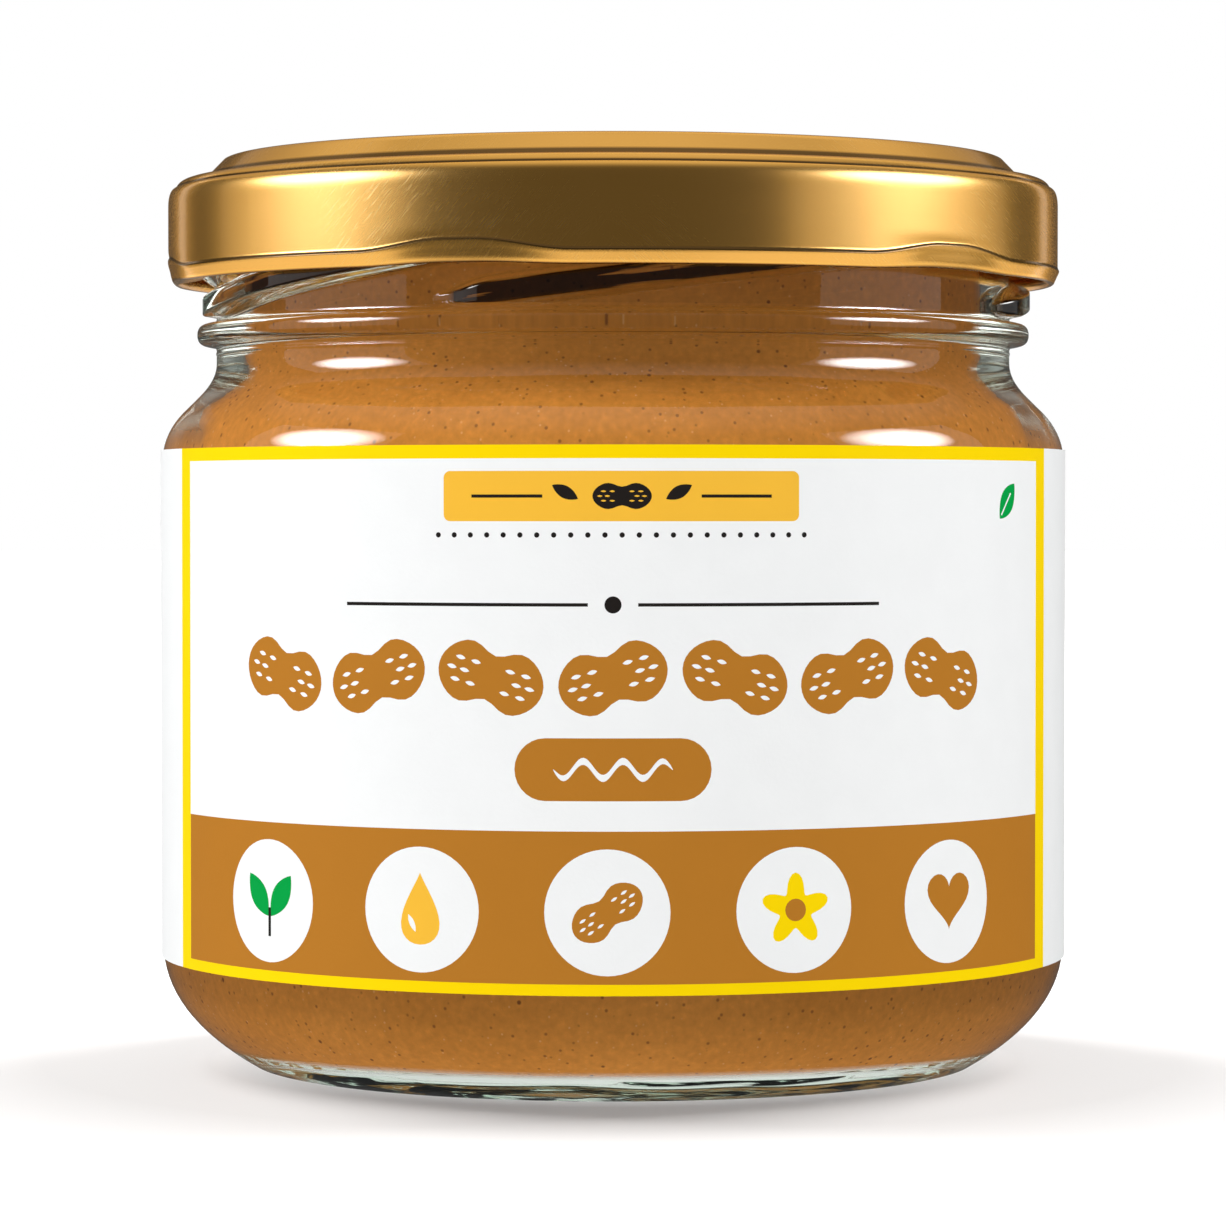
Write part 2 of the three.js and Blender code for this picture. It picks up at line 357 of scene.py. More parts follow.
def piece(name, mesh, materials, node):
    """Adds an object that stands for a CAD node."""
    obj = bpy.data.objects.new(name, mesh)
    bpy.context.collection.objects.link(obj)
    for material in materials:
        mesh.materials.append(material)
    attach(obj, "root")
    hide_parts(node)
    return obj


def run_along(profile):
    """The distance along a profile to each of its points, in metres."""
    return np.r_[0, np.cumsum(np.linalg.norm(np.diff(profile, axis=0), axis=1))] * MM


def run_at(profile, r, z):
    """The distance along a profile to its point nearest a place."""
    nearest = np.argmin(np.hypot(profile[:, 0] - r, profile[:, 1] - z))
    return float(run_along(profile)[nearest])


def turned(name, profile, reshape):
    """A closed skin turned from a profile that starts and ends on the axis, with its solid on the left.

    reshape(angle, r, z) gives the radius and height of each point. The map named wrap holds the
    distance round the jar at the lid's radius and along the profile, in metres.
    """
    profile = np.asarray(profile)
    rows = len(profile)
    angle = np.arange(SEGMENTS) * TURN / SEGMENTS
    grid = np.broadcast_to(angle, (rows, SEGMENTS))
    r = np.repeat(profile[:, :1], SEGMENTS, axis=1)
    z = np.repeat(profile[:, 1:], SEGMENTS, axis=1)
    r, z = reshape(grid, r, z)
    points = np.stack([r * np.sin(grid), -r * np.cos(grid), z], axis=2)
    ring = points[1:-1].reshape(-1, 3)
    ends = [(0, 0, profile[0, 1]), (0, 0, profile[-1, 1])]
    vertices = np.vstack([ring, ends]) * MM
    first, last = len(ring), len(ring) + 1

    run = run_along(profile)
    arc = LID_R * MM * TURN / SEGMENTS
    faces, wrap = [], []
    for i in range(SEGMENTS):
        j = (i + 1) % SEGMENTS
        faces.append((first, j, i))
        wrap += [(i * arc, run[0]), ((i + 1) * arc, run[1]), (i * arc, run[1])]
        for k in range(rows - 3):
            low, high = k * SEGMENTS, (k + 1) * SEGMENTS
            faces.append((low + i, low + j, high + j, high + i))
            wrap += [(i * arc, run[k + 1]), ((i + 1) * arc, run[k + 1]),
                     ((i + 1) * arc, run[k + 2]), (i * arc, run[k + 2])]
        top = (rows - 3) * SEGMENTS
        faces.append((top + i, top + j, last))
        wrap += [(i * arc, run[-2]), ((i + 1) * arc, run[-2]), (i * arc, run[-1])]
    mesh = bpy.data.meshes.new(name)
    mesh.from_pydata(vertices.tolist(), [], faces)
    mesh.uv_layers.new(name="wrap").data.foreach_set("uv", np.array(wrap, dtype=np.float32).ravel())
    mesh.update()
    return mesh


def smooth(x):
    x = np.clip(x, 0, 1)
    return x * x * (3 - 2 * x)


def turn_from(angle, start):
    """The angle past a start, from 0 to a full turn."""
    return np.mod(angle - start, TURN)


# Glass jar

def glass_outside():
    neck_corner_z = SHOULDER_Z + SHOULDER_R - NECK_R
    bead_face_r = BEAD_R - BEAD_HALF_HEIGHT
    bead_foot_z = BEAD_Z - BEAD_HALF_HEIGHT
    bead_top_z = BEAD_Z + BEAD_HALF_HEIGHT
    fillet_foot = (NECK_R + NECK_FILLET, neck_corner_z - NECK_FILLET)
    neck_top = (NECK_R, RIM_Z - RIM_ROUND)
    bead_low = (NECK_R, bead_foot_z - BEAD_FILLET)
    bead_high = (NECK_R, bead_top_z + BEAD_FILLET)
    parting_low = (NECK_R, PARTING_Z - 3 * PARTING_RISE)
    parting_high = (NECK_R, PARTING_Z + 3 * PARTING_RISE)
    return np.vstack([
        bend(40, (0, PUSH_UP), (FOOT_INNER_R, PUSH_UP), (FOOT_INNER_R, 0)),
        straight(6, (FOOT_INNER_R, 0), (FOOT_OUTER_R, 0)),
        bend(16, (FOOT_OUTER_R, 0), (BODY_R, HEEL_BEND_Z), (BODY_R, HEEL_TOP_Z)),
        straight(4, (BODY_R, HEEL_TOP_Z), (BODY_R, SHOULDER_FOOT_Z)),
        bend(10, (BODY_R, SHOULDER_FOOT_Z), (BODY_R, SHOULDER_BEND_Z), (SHOULDER_R, SHOULDER_Z)),
        straight(3, (SHOULDER_R, SHOULDER_Z), fillet_foot),
        bend(8, fillet_foot, (NECK_R, neck_corner_z), (NECK_R, NECK_FOOT_Z)),
        straight(2, (NECK_R, NECK_FOOT_Z), parting_low),
        bend(4, parting_low, (NECK_R + 2 * PARTING_RISE, PARTING_Z), parting_high),
        straight(2, parting_high, bead_low),
        bend(6, bead_low, (NECK_R, bead_foot_z), (bead_face_r, bead_foot_z)),
        bend(7, (bead_face_r, bead_foot_z), (BEAD_R, bead_foot_z), (BEAD_R, BEAD_Z)),
        bend(7, (BEAD_R, BEAD_Z), (BEAD_R, bead_top_z), (bead_face_r, bead_top_z)),
        bend(6, (bead_face_r, bead_top_z), (NECK_R, bead_top_z), bead_high),
        straight(60, bead_high, (NECK_R, FINE_TOP_Z)),
        straight(30, (NECK_R, FINE_TOP_Z), neck_top),
        bend(6, neck_top, (NECK_R, RIM_Z), (NECK_R - RIM_ROUND, RIM_Z)),
        bend(6, (THROAT_R + RIM_ROUND, RIM_Z), (THROAT_R, RIM_Z), (THROAT_R, RIM_Z - RIM_ROUND)),
    ])


def glass_cavity():
    shoulder_corner_z = THROAT_BEND_Z - (BORE_R - THROAT_BEND_R)
    throat_corner_z = THROAT_BEND_Z + (THROAT_BEND_R - THROAT_R)
    floor_edge = (FLOOR_EDGE_R, FLOOR_EDGE_Z)
    throat_bend = (THROAT_BEND_R, THROAT_BEND_Z)
    return np.vstack([
        bend(8, (0, FLOOR_MIDDLE_Z), (FLOOR_EDGE_R / 2, FLOOR_MIDDLE_Z), floor_edge),
        bend(14, floor_edge, (BORE_R, FLOOR_EDGE_Z), (BORE_R, BORE_FOOT_Z)),
        straight(3, (BORE_R, BORE_FOOT_Z), (BORE_R, BORE_TOP_Z)),
        bend(8, (BORE_R, BORE_TOP_Z), (BORE_R, shoulder_corner_z), throat_bend),
        bend(8, throat_bend, (THROAT_R, throat_corner_z), (THROAT_R, THROAT_FOOT_Z)),
        [(THROAT_R, THROAT_FOOT_Z)],
    ])


def thread_relief(angle, z):
    """How far the threads stand out of the neck."""
    relief = np.zeros_like(z)
    for start in THREAD_STARTS:
        turn = turn_from(angle, start)
        from_end = np.minimum(turn, THREAD_SPAN - turn)
        grown = THREAD_TIP_SHARE + (1 - THREAD_TIP_SHARE) * smooth(from_end / THREAD_RAMP)
        climb = np.where(turn < THREAD_RAMP, turn ** 2 / (2 * THREAD_RAMP), turn - THREAD_RAMP / 2)
        middle = THREAD_START_Z + THREAD_PITCH * climb / TURN
        across = np.abs(z - middle) / (THREAD_HALF_HEIGHT * grown)
        section = smooth((1 - across) / THREAD_FLANK)
        tip = smooth(from_end / THREAD_TIP_RAMP)
        relief = np.maximum(relief, THREAD_RISE * grown * tip * section * (from_end > 0))
    return relief


def reshape_glass(angle, r, z):
    """Raises the threads, knurls the foot ring and ripples the underside."""
    on_neck = (np.abs(r - NECK_R) < 1e-6) & (z > BEAD_Z + BEAD_HALF_HEIGHT)
    on_foot = (z == 0) & (r > FOOT_INNER_R) & (r < FOOT_OUTER_R)
    on_underside = (r < FOOT_INNER_R) & (z > 0) & (z <= PUSH_UP)
    knurl = KNURL_DEPTH * (0.5 - 0.5 * np.cos(KNURLS * angle))
    wander = sum(size * np.sin(count * angle) for size, count in RIPPLE_WANDERS)
    swirl = np.sin(TURN * r / RIPPLE_PITCH + wander)
    ripple = RIPPLE_DEPTH * swirl * smooth((r - RIPPLE_START_R) / RIPPLE_GROWTH) * smooth(z / RIPPLE_END_Z)
    rise = np.where(on_foot, knurl, 0) + np.where(on_underside, ripple, 0)
    return r + np.where(on_neck, thread_relief(angle, z), 0), z + rise


# Peanut butter

def butter_profile():
    side = moved_left(glass_cavity(), -FILL_REACH)
    edge = side[-1, 0]
    round_foot = (edge, FILL_LEVEL_Z - FILL_ROUND_DROP)
    round_top = (edge - FILL_ROUND, FILL_LEVEL_Z)
    return np.vstack([
        side[:-1],
        straight(6, side[-1], round_foot),
        bend(4, round_foot, (edge, FILL_LEVEL_Z), round_top),
        straight(8, round_top, (0, FILL_LEVEL_Z)),
        [(0, FILL_LEVEL_Z)],
    ])


def unchanged(angle, r, z):
    return r, z


# Lid

def lid_outside():
    """From the skirt's foot, above the crease, over the shoulder and the raised ring to the axis."""
    corner_foot = (SKIRT_R, CORNER_FOOT_Z)
    fold = (FOLD_R, FOLD_Z)
    shoulder = (LID_SHOULDER_R, LID_SHOULDER_Z)
    valley_rim_r = (LID_SHOULDER_R + VALLEY_R) / 2
    valley_low = (VALLEY_R, VALLEY_Z)
    ring_low = (STACK_RING_FOOT_R, STACK_RING_FOOT_Z)
    ring_high = (STACK_RING_OUTER_R + STACK_RING_ROUND, LID_TOP_Z - STACK_RING_ROUND_DROP)
    ring_corner = (STACK_RING_OUTER_R + STACK_RING_ROUND / 2, LID_TOP_Z)
    ring_edge = (STACK_RING_OUTER_R, LID_TOP_Z)
    ring_inner = (STACK_RING_INNER_R, LID_TOP_Z)
    step_r = (PANEL_R + STACK_RING_INNER_R) / 2
    step = (step_r, (PANEL_Z + LID_TOP_Z) / 2)
    panel = (PANEL_R, PANEL_Z)
    button_z = PANEL_Z + BUTTON_RISE
    button_foot = (BUTTON_R, PANEL_Z)
    side_share, rise_share = BUTTON_SIDE
    button_side = (BUTTON_R * side_share, PANEL_Z + rise_share * BUTTON_RISE)
    foot_bend, top_bend = BUTTON_BENDS
    return np.vstack([
        straight(14, (SKIRT_R, SKIRT_FOOT_Z), corner_foot),
        bend(14, corner_foot, (SKIRT_R, FOLD_Z), fold),
        bend(8, fold, (FOLD_R - FOLD_ROUND, LID_SHOULDER_Z), shoulder),
        bend(5, shoulder, (valley_rim_r, LID_SHOULDER_Z), valley_low),
        bend(5, valley_low, (STACK_RING_FOOT_R + VALLEY_ROUND, VALLEY_Z), ring_low),
        straight(6, ring_low, ring_high),
        bend(6, ring_high, ring_corner, ring_edge),
        straight(3, ring_edge, ring_inner),
        bend(8, ring_inner, (step_r, LID_TOP_Z), step),
        bend(8, step, (step_r, PANEL_Z), panel),
        straight(8, panel, button_foot),
        bend(8, button_foot, (BUTTON_R * foot_bend, PANEL_Z), button_side),
        bend(8, button_side, (BUTTON_R * top_bend, button_z), (0, button_z)),
        [(0, button_z)],
    ])


def lid_profile():
    """The sheet's inside, the curl and lip with the crease above it, and the sheet's outside."""
    outside = lid_outside()
    inside = moved_left(outside, SHEET)[::-1]
    inner_r = SKIRT_R - SHEET
    curl_top = (CURL_MIDDLE_R, CREASE_Z)
    curl_side = (CURL_INNER_R, CURL_MIDDLE_Z)
    curl_foot = (CURL_MIDDLE_R, CURL_FOOT_Z)
    curl = np.vstack([
        bend(4, (inner_r, CURL_START_Z), (inner_r, CREASE_Z), curl_top),
        bend(6, curl_top, (CURL_INNER_R, CREASE_Z), curl_side),
        bend(6, curl_side, (CURL_INNER_R, CURL_FOOT_Z), curl_foot),
        bend(6, curl_foot, LIP_FOOT, LIP_LOW),
        straight(4, LIP_LOW, LIP_HIGH),
        bend(4, LIP_HIGH, (LID_R, CREASE_Z), SHELF_LOW),
        straight(3, SHELF_LOW, SHELF_HIGH),
        bend(4, SHELF_HIGH, (SKIRT_R, CREASE_ROOT_Z), (SKIRT_R, CREASE_TOP_Z)),
        straight(4, (SKIRT_R, CREASE_TOP_Z), (SKIRT_R, SKIRT_FOOT_Z)),
    ])
    return np.vstack([inside, curl, outside])


def reshape_lid(angle, r, z):
    """Presses the lugs: the curl lifts and grows taller, the skirt dents a little, a tongue turns in."""
    away = [np.abs(turn_from(angle + math.pi, middle) - math.pi) for middle in LUG_MIDDLES]
    nearest = np.min(away, axis=0)
    bump = smooth(LUG_EDGE - nearest / LUG_HALF_WIDTH)
    tongue = smooth(2 - nearest / TONGUE_HALF_WIDTH)
    up_curl = np.clip((z - CURL_FOOT_Z) / (CREASE_Z - CURL_FOOT_Z), 0, 1)
    past_crease = 1 - smooth((z - CREASE_Z) / LUG_FADE)
    share = LUG_FOOT_LIFT_SHARE + (1 - LUG_FOOT_LIFT_SHARE) * up_curl
    lift = LUG_LIFT * bump * share * past_crease
    outer = r > SKIRT_R - SHEET / 2
    dent = LUG_DENT * bump * up_curl * past_crease * outer
    on_curl = (z < TONGUE_TOP_Z) & (r > CURL_INNER_R - 1)
    inward = LUG_REACH * tongue * smooth((TONGUE_ROOT_R - r) / TONGUE_BEND) * on_curl
    skirt = z < CORNER_FOOT_Z
    return r - np.where(skirt, dent + inward, 0), z + np.where(skirt, lift, 0)


# Label print: closed outlines in millimetres round the front and up the jar, painted in this order

def rect(u0, v0, u1, v1):
    return np.array([(u0, v0), (u1, v0), (u1, v1), (u0, v1)])


def block(u, v, width, height):
    return rect(u - width / 2, v - height / 2, u + width / 2, v + height / 2)


def ring_points(steps):
    return np.arange(steps) * TURN / steps


def disc(u, v, radius, steps=28):
    t = ring_points(steps)
    return np.c_[u + radius * np.cos(t), v + radius * np.sin(t)]


def rounded(u, v, width, height, radius, steps=8):
    t = np.linspace(0, math.pi / 2, steps)
    corners = []
    for turn, (su, sv) in enumerate([(1, 1), (-1, 1), (-1, -1), (1, -1)]):
        centre = (u + su * (width / 2 - radius), v + sv * (height / 2 - radius))
        corners.append(np.c_[centre[0] + radius * np.cos(t + turn * math.pi / 2),
                             centre[1] + radius * np.sin(t + turn * math.pi / 2)])
    return np.vstack(corners)


def turned_by(outline, degrees, u, v):
    c, s = math.cos(math.radians(degrees)), math.sin(math.radians(degrees))
    return outline @ np.array([(c, s), (-s, c)]) + (u, v)


def nut(u, v, half_length, half_height, degrees=0, steps=40):
    t = ring_points(steps)
    waist = 1 - NUT_WAIST * np.exp(-(np.cos(t) / NUT_WAIST_LENGTH) ** 2)
    up = half_height * np.sin(t) * waist / NUT_FULLEST
    return turned_by(np.c_[half_length * np.cos(t), up], degrees, u, v)


def leaf(u, v, length, width, degrees=0, steps=14):
    t = np.linspace(0, 1, steps, endpoint=False)
    belly = width / 2 * np.sin(math.pi * t) ** LEAF_ROUNDNESS
    half = np.c_[length * (t - 0.5), belly]
    return turned_by(np.vstack([half, -half]), degrees, u, v)


def drop(u, v, height, steps=32):
    t = ring_points(steps)
    across = DROP_HALF_WIDTH * height * np.sin(t) * np.sin(t / 2) ** DROP_POINT
    return np.c_[u + across, v + height / 2 * np.cos(t)]


def petals(u, v, radius, count=5, steps=60):
    t = ring_points(steps)
    reach = radius * (1 - PETAL_DIP + PETAL_DIP * np.cos(count * t))
    return np.c_[u + reach * np.sin(t), v + reach * np.cos(t)]


def heart(u, v, size, steps=40):
    """The usual heart curve, which is 32 units wide, at a size."""
    t = ring_points(steps)
    across = 16 * np.sin(t) ** 3
    up = 13 * np.cos(t) - 5 * np.cos(2 * t) - 2 * np.cos(3 * t) - np.cos(4 * t)
    return np.c_[u + size * across / 32, v + size * (up + 2.5) / 32]


def wave(u, v, length, rise, stroke, humps=3, steps=48):
    t = np.linspace(-0.5, 0.5, steps)
    line = rise * np.sin(TURN * humps * t)
    taper = stroke / 2 * np.sqrt(np.clip(1 - (2 * t) ** WAVE_BLUNTNESS, WAVE_END, 1))
    upper = np.c_[u + length * t, v + line + taper]
    lower = np.c_[u + length * t, v + line - taper]
    return np.vstack([lower, upper[::-1]])


def nut_with_shell(u, v, half_length, half_height, degrees, body, marks):
    """A two-lobed nut with rows of short marks along its shell."""
    shapes = [(body, nut(u, v, half_length, half_height, degrees))]
    for lobe in (-0.5, 0.5):
        for along, across in SHELL_MARKS:
            place = (half_length * (lobe + math.copysign(along, along * lobe)), half_height * across)
            (spot,) = turned_by(np.array([place]), degrees, u, v)
            size = (SHELL_MARK_SIZE[0] * half_length, SHELL_MARK_SIZE[1] * half_height)
            shapes.append((marks, leaf(*spot, *size, degrees, 6)))
    return shapes


def badge_pictures():
    """A small plain picture for each badge, from left to right, about the badge's middle."""
    out, up = SPRIG_LEAF_PLACE
    sprig = [("green", leaf(way * out, up, *SPRIG_LEAF, 90 - way * SPRIG_LEAF_TILT)) for way in (-1, 1)]
    sprig.append(("dark", block(0, -SPRIG_STEM_DROP, *SPRIG_STEM)))
    glint = leaf(*OIL_GLINT_PLACE, *OIL_GLINT, OIL_GLINT_TILT)
    oil = [("amber", drop(0, OIL_RISE, OIL_HEIGHT)), ("paper", glint)]
    nuts = nut_with_shell(0, 0, *BADGE_NUT, BADGE_NUT_TILT, "brown", "paper")
    blossom = [("yellow", petals(0, 0, BLOSSOM_R)), ("brown", disc(0, 0, BLOSSOM_EYE_R, 20))]
    love = [("brown", heart(0, 0, HEART_SIZE))]
    return [sprig, oil, nuts, blossom, love]


def front_print():
    side, foot, top = FRAME_HALF_WIDTH, LABEL_FOOT_Z + FRAME_FOOT, LABEL_TOP_Z - FRAME_TOP
    inner = side - FRAME_SIDE
    shapes = [
        ("yellow", rect(-side, LABEL_FOOT_Z, side, LABEL_TOP_Z)),
        ("paper", rect(-inner, foot, inner, top)),
        ("brown", rect(-inner, foot, inner, BAND_TOP_Z)),
    ]
    for k, picture in enumerate(badge_pictures()):
        u = BADGE_MIDDLE + (k - (BADGES - 1) / 2) * BADGE_PITCH
        shapes.append(("paper", disc(u, BADGE_Z, BADGE_R, 56)))
        shapes += [(ink, outline + (u, BADGE_Z)) for ink, outline in picture]
    shapes.append(("brown", rounded(0, PILL_Z, *PILL_SIZE, PILL_SIZE[1] / 2 - 0.01)))
    shapes.append(("paper", wave(0, PILL_Z, WAVE_LENGTH, WAVE_RISE, WAVE_STROKE)))
    for k in range(NUT_ROW):
        u = (k - (NUT_ROW - 1) / 2) * NUT_PITCH
        degrees = NUT_TILT if k % 2 else -NUT_TILT
        shapes += nut_with_shell(u, NUT_ROW_Z, *NUT_HALF_SIZE, degrees, "brown", "paper")
    near, far = RULE_ENDS
    for way in (-1, 1):
        shapes.append(("dark", block(way * (near + far) / 2, RULE_Z, far - near, RULE_STROKE)))
    shapes.append(("dark", disc(0, RULE_Z, RULE_DOT_R, 24)))
    u, v = PLAQUE_MIDDLE
    for k in range(-DOTS_EACH_WAY, DOTS_EACH_WAY + 1):
        shapes.append(("dark", disc(u + k * DOT_PITCH, DOT_ROW_Z, DOT_R, 12)))
    shapes.append(("amber", rounded(u, v, *PLAQUE_SIZE, PLAQUE_ROUND)))
    shapes += nut_with_shell(u, v, *PLAQUE_NUT, 0, "dark", "amber")
    leaf_out, leaf_up = PLAQUE_LEAF_PLACE
    for way in (-1, 1):
        tilt = 90 - way * PLAQUE_LEAF_TILT
        shapes.append(("dark", leaf(u + way * leaf_out, v + leaf_up, *PLAQUE_LEAF, tilt)))
        shapes.append(("dark", block(u + way * PLAQUE_RULE_OUT, v, *PLAQUE_RULE)))
    u, v = MARK_MIDDLE
    shapes.append(("green", leaf(u, v, *MARK_LEAF, MARK_TILT)))
    shapes.append(("paper", turned_by(block(*MARK_VEIN), MARK_TILT, u, v)))
    return shapes


def back_print():
    """A ruled table on one side of the seam, and a framed nut on the other."""
    near, foot, far, top = BACK_PANEL
    middle, middle_z = (near + far) / 2, (foot + top) / 2
    head = top - TABLE_HEAD
    shapes = [
        ("dark", rect(near, foot, far, top)),
        ("paper", rect(near + BACK_STROKE, foot + BACK_STROKE, far - BACK_STROKE, top - BACK_STROKE)),
        ("brown", rect(near + BACK_STROKE, head, far - BACK_STROKE, top - BACK_STROKE)),
    ]
    row = (head - foot) / TABLE_ROWS
    heavy, light = TABLE_RULES
    for k in range(1, TABLE_ROWS):
        weight = light if k % 3 else heavy
        shapes.append(("dark", block(middle, foot + k * row, far - near - 3, weight)))
    column = middle + TABLE_COLUMN
    column_end = column + TABLE_COLUMN_RULE
    shapes.append(("dark", rect(column, foot + TABLE_MARGIN, column_end, head - TABLE_MARGIN)))
    left, right = -far + CREST_BORDER, -near - CREST_BORDER
    low, high = foot + CREST_BORDER, top - CREST_BORDER
    outer, inner = CREST_RADII
    shapes += [
        ("yellow", rect(-far, foot, -near, top)),
        ("paper", rect(left, low, right, high)),
        ("amber", disc(-middle, middle_z + CREST_RISE, outer, 96)),
        ("paper", disc(-middle, middle_z + CREST_RISE, inner, 96)),
        ("brown", rect(left, low, right, foot + CREST_FOOT)),
    ]
    leaf_out, leaf_up = CREST_LEAF_PLACE
    for way in (-1, 1):
        tilt = 90 - way * CREST_LEAF_TILT
        shapes.append(("green", leaf(-middle + way * leaf_out, foot + leaf_up, *CREST_LEAF, tilt)))
    nut_z = middle_z + CREST_NUT_RISE
    shapes += nut_with_shell(-middle, nut_z, *CREST_NUT, CREST_NUT_TILT, "brown", "paper")
    return shapes


def label_mesh(name, shapes, inks):
    """A sheet cut along every outline, wrapped round the jar and lapped at the back."""
    half = math.pi * LABEL_R
    left, right = -half, half + LABEL_LAP
    outlines = [rect(left, LABEL_FOOT_Z, right, LABEL_TOP_Z)] + [outline for _, outline in shapes]
    painted = ["paper"] + [ink for ink, _ in shapes]
    points, rings, cuts = [], [], []
    for outline in outlines:
        u, v = outline.T
        if np.dot(u, np.roll(v, -1)) < np.dot(v, np.roll(u, -1)):
            outline = outline[::-1]
        rings.append(list(range(len(points), len(points) + len(outline))))
        points += [Vector(point) for point in outline]
    for u in np.arange(left + LABEL_STEP, right, LABEL_STEP):
        cuts.append((len(points), len(points) + 1))
        points += [Vector((u, LABEL_FOOT_Z)), Vector((u, LABEL_TOP_Z))]
    flat, _, triangles, _, _, covering = delaunay_2d_cdt(points, cuts, rings, 1, 1e-5)

    flat = np.array([tuple(point) for point in flat])
    angle = flat[:, 0] / LABEL_R
    inner = BODY_R + LABEL_CLEARANCE + LABEL_THICKNESS * smooth((flat[:, 0] - half) / LABEL_RAMP + 1)
    skins = []
    for r in (inner + LABEL_THICKNESS, inner):
        skins.append(np.c_[r * np.sin(angle), -r * np.cos(angle), flat[:, 1]])
    vertices = np.vstack(skins) * MM
    count = len(flat)

    faces = [tuple(face) for face in triangles]
    paint = [inks.index(painted[max(over)]) for over in covering]
    uses = {}
    for face in faces:
        for a, b in zip(face, face[1:] + face[:1]):
            uses[frozenset((a, b))] = None if frozenset((a, b)) in uses else (a, b)
    rim = [(b, a, a + count, b + count) for a, b in filter(None, uses.values())]
    backs = [tuple(i + count for i in reversed(face)) for face in faces]
    mesh = bpy.data.meshes.new(name)
    mesh.from_pydata(vertices.tolist(), [], faces + backs + rim)
    paper = inks.index("paper")
    mesh.polygons.foreach_set("material_index", paint + [paper] * (len(backs) + len(rim)))
    mesh.update()
    return mesh


# Materials

# Ramps run from 0 to 1, so lengths in metres are brought up by this to be read on one
RAMP_SCALE = 10.0


def srgb(red, green, blue):
    """A linear colour from 8-bit display values."""
    channels = np.array([red, green, blue]) / 255
    linear = np.where(channels < 0.04045, channels / 12.92, ((channels + 0.055) / 1.055) ** 2.4)
    return (*map(float, linear), 1.0)


def add(tree, kind, inputs=None, **settings):
    """Adds a shader node, with values or links for its inputs, and gives its outputs."""
    made = tree.nodes.new(kind)
    for name, value in settings.items():
        setattr(made, name, value)
    for key, value in (inputs or {}).items():
        if isinstance(value, bpy.types.NodeSocket):
            tree.links.new(value, made.inputs[key])
        else:
            made.inputs[key].default_value = value
    return made.outputs


def ramp(tree, factor, *stops):
    """A colour ramp with stops of (position, colour or grey)."""
    made = tree.nodes.new("ShaderNodeValToRGB")
    elements = made.color_ramp.elements
    while len(elements) < len(stops):
        elements.new(1.0)
    for element, (position, colour) in zip(elements, stops):
        element.position = position
        element.color = colour if isinstance(colour, tuple) else (colour, colour, colour, 1)
    tree.links.new(factor, made.inputs["Fac"])
    return made.outputs["Color"]


def noise(tree, coordinates, scale, detail=2.0, roughness=0.5):
    inputs = {"Vector": coordinates, "Scale": scale, "Detail": detail, "Roughness": roughness}
    return add(tree, "ShaderNodeTexNoise", inputs)["Fac"]


def math_node(tree, operation, *values):
    return add(tree, "ShaderNodeMath", dict(enumerate(values)), operation=operation)[0]


def mix_colours(tree, factor, a, b, blend="MIX"):
    inputs = {0: factor, 6: a, 7: b}
    return add(tree, "ShaderNodeMix", inputs, data_type="RGBA", blend_type=blend)[2]


def material(name, **sockets):
    """A Principled material with even values on its own sockets."""
    made = bpy.data.materials.new(name)
    made.use_nodes = True
    shader = made.node_tree.nodes["Principled BSDF"]
    for socket, value in sockets.items():
        shader.inputs[socket.replace("_", " ").title().replace("Ior", "IOR")].default_value = value
    return made, made.node_tree, shader


def feed(tree, shader, **sockets):
    for socket, source in sockets.items():
        tree.links.new(source, shader.inputs[socket.replace("_", " ").title()])


def object_space(tree):
    return add(tree, "ShaderNodeTexCoord")["Object"]


def bump(tree, height, distance, strength=1.0):
    inputs = {"Height": height, "Distance": distance, "Strength": strength}
    return add(tree, "ShaderNodeBump", inputs)["Normal"]


def from_axis(tree, space):
    """The distance from the jar's axis, in metres."""
    flat = add(tree, "ShaderNodeVectorMath", {0: space, 1: (1, 1, 0)}, operation="MULTIPLY")["Vector"]
    return add(tree, "ShaderNodeVectorMath", {0: flat}, operation="LENGTH")["Value"]


def on_ramp(tree, length, *stops):
    """A ramp over a length in metres, with stops of (millimetres, grey)."""
    scaled = math_node(tree, "MULTIPLY", length, RAMP_SCALE)
    return ramp(tree, scaled, *((position * MM * RAMP_SCALE, grey) for position, grey in stops))


def times(tree, first, second):
    return math_node(tree, "MULTIPLY", first, second)


